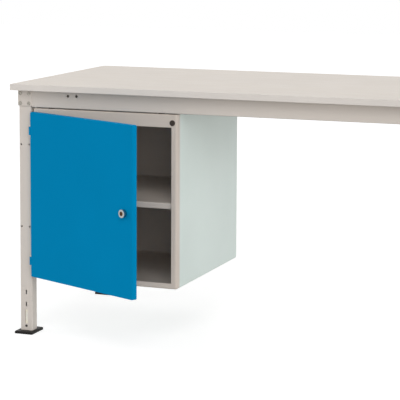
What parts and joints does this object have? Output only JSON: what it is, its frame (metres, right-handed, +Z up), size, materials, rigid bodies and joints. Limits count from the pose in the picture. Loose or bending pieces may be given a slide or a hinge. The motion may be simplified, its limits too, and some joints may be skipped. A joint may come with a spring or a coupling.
{
  "type": "workbench with hanging cabinet",
  "caption": "Steel-framed workbench with a melamine worktop, slotted tube legs on adjustable feet and a hanging cabinet with a hinged, lockable door.",
  "frame": {"origin": "on the floor, at the middle of the bench's length and of the depth it takes with its door open as pictured", "axes": "+X to the right along the bench, +Y from the front to the back, +Z up"},
  "size_m": [1.5, 0.9438, 0.818],
  "materials": {
    "melamine": "chipboard with a pale warm grey melamine face, satin",
    "edge_band": "satin plastic edge band, a shade darker than the worktop",
    "frame_paint": "light warm grey powder coat, fine orange peel",
    "cabinet_paint": "light grey powder coat, fine orange peel",
    "door_paint": "sky blue powder coat, satin",
    "zinc": "bright zinc plated steel",
    "black_steel": "black oxide steel",
    "dull_steel": "grey phosphated steel",
    "chrome": "polished chrome",
    "lock_brass": "dull dark brass, turned face",
    "foot_plastic": "black moulded plastic",
    "rubber": "dark grey rubber"
  },
  "bodies": {
    "bench": {"worktop_board": "melamine", "front_edge_band": "edge_band", "rear_edge_band": "edge_band", "left_edge_band": "edge_band", "right_edge_band": "edge_band", "front_rail": "frame_paint", "rear_rail": "frame_paint", "left_cross_rail": "frame_paint", "right_cross_rail": "frame_paint", "left_cabinet_hanger": "frame_paint", "right_cabinet_hanger": "frame_paint", "rail_bolts": "zinc", "rail_nuts": "zinc", "head_screws": "dull_steel", "worktop_screws": "zinc", "foot_clamp_screws": "black_steel", "cabinet_mount_bolts": "zinc", "cabinet_mount_nuts": "zinc", "front_mount_spacers": "rubber", "rear_mount_spacers": "rubber", "cabinet_left_side": "cabinet_paint", "cabinet_right_side": "cabinet_paint", "cabinet_top": "cabinet_paint", "cabinet_bottom": "cabinet_paint", "cabinet_back": "cabinet_paint", "cabinet_shelf": "cabinet_paint", "shelf_strips": "zinc", "shelf_clips": "zinc", "door_buffer": "rubber", "upper_hinge_cabinet_leaf": "cabinet_paint", "lower_hinge_cabinet_leaf": "cabinet_paint", "upper_hinge_pin": "zinc", "lower_hinge_pin": "zinc", "front_left_leg": "frame_paint", "front_left_leg_head": "frame_paint", "front_right_leg": "frame_paint", "front_right_leg_head": "frame_paint", "rear_left_leg": "frame_paint", "rear_left_leg_head": "frame_paint", "rear_right_leg": "frame_paint", "rear_right_leg_head": "frame_paint"},
    "door": {"door_panel": "door_paint", "door_stiffener": "door_paint", "upper_hinge_door_leaf": "door_paint", "lower_hinge_door_leaf": "door_paint", "lock_housing": "chrome", "lock_nut": "zinc"},
    "lock_core": {"lock_plug": "lock_brass", "lock_cam": "zinc", "lock_cam_screw": "zinc"},
    "front_left_foot": {"front_left_foot_tube": "zinc", "front_left_foot_pad": "foot_plastic"},
    "front_right_foot": {"front_right_foot_tube": "zinc", "front_right_foot_pad": "foot_plastic"},
    "rear_left_foot": {"rear_left_foot_tube": "zinc", "rear_left_foot_pad": "foot_plastic"},
    "rear_right_foot": {"rear_right_foot_tube": "zinc", "rear_right_foot_pad": "foot_plastic"}
  },
  "joints": [
    {"name": "door_hinge", "type": "hinge", "parent": "bench", "child": "door", "pos_m": [-0.6881, -0.25958, 0.454], "axis": [0, 0, -1], "range_deg": [-25.2, 154.8]},
    {"name": "lock_turn", "type": "hinge", "parent": "door", "child": "lock_core", "pos_m": [-0.2764, -0.45331, 0.456], "axis": [0.4258, 0.9048, 0], "range_deg": [0, 90]},
    {"name": "front_left_foot_height", "type": "slide", "parent": "bench", "child": "front_left_foot", "axis": [0, 0, -1], "range_m": [0, 0.045]},
    {"name": "front_right_foot_height", "type": "slide", "parent": "bench", "child": "front_right_foot", "axis": [0, 0, -1], "range_m": [0, 0.045]},
    {"name": "rear_left_foot_height", "type": "slide", "parent": "bench", "child": "rear_left_foot", "axis": [0, 0, -1], "range_m": [0, 0.045]},
    {"name": "rear_right_foot_height", "type": "slide", "parent": "bench", "child": "rear_right_foot", "axis": [0, 0, -1], "range_m": [0, 0.045]}
  ]
}
